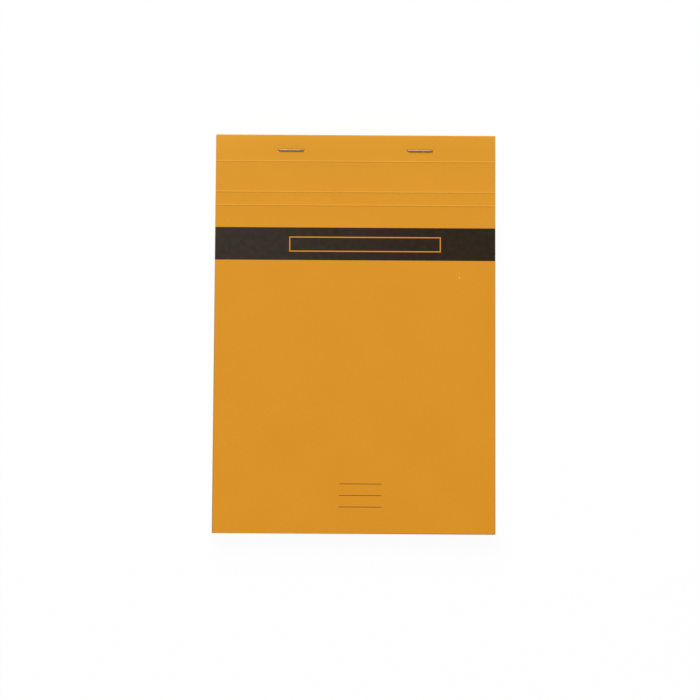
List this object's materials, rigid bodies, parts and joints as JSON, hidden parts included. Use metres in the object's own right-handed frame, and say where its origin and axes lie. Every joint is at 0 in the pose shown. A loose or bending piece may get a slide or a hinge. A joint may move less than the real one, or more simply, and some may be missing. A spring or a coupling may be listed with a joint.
{
  "type": "legal pad",
  "caption": "Head-stapled A5 legal pad: a block of sheets on a grey board, in one wrap-around card cover whose scored front folds back over the head.",
  "frame": {"origin": "middle of the closed pad's footprint, level with the lowest point of the clinched staples", "axes": "+Z out of the front cover, +Y towards the stapled head, +X to the right seen from the front"},
  "size_m": [0.148, 0.2102, 0.0074],
  "materials": {
    "cover_card": "smooth coated card, satin",
    "band_ink": "printed, satin",
    "page_paper": "smooth uncoated writing paper",
    "grey_board": "solid greyboard, uncoated and fibrous",
    "staple_wire": "drawn wire, bright"
  },
  "bodies": {
    "pad": {"cover_binding": "cover_card", "pages": "page_paper", "back_board": "grey_board", "staple_left": "staple_wire", "staple_right": "staple_wire"},
    "turn_strip": {"cover_turn_strip": "cover_card"},
    "spine_strip": {"cover_spine_strip": "cover_card"},
    "cover": {"front_cover": "cover_card", "printed_band": "band_ink"}
  },
  "joints": [
    {"name": "opening_fold", "type": "hinge", "parent": "pad", "child": "turn_strip", "pos_m": [0, 0.09085, 0.00722], "axis": [-1, 0, 0], "range_deg": [0, 179.5]},
    {"name": "turn_fold", "type": "hinge", "parent": "turn_strip", "child": "spine_strip", "pos_m": [0, 0.07455, 0.00722], "axis": [-1, 0, 0], "range_deg": [0, 90]},
    {"name": "tuck_fold", "type": "hinge", "parent": "spine_strip", "child": "cover", "pos_m": [0, 0.06745, 0.00722], "axis": [-1, 0, 0], "range_deg": [0, 90.5]}
  ]
}
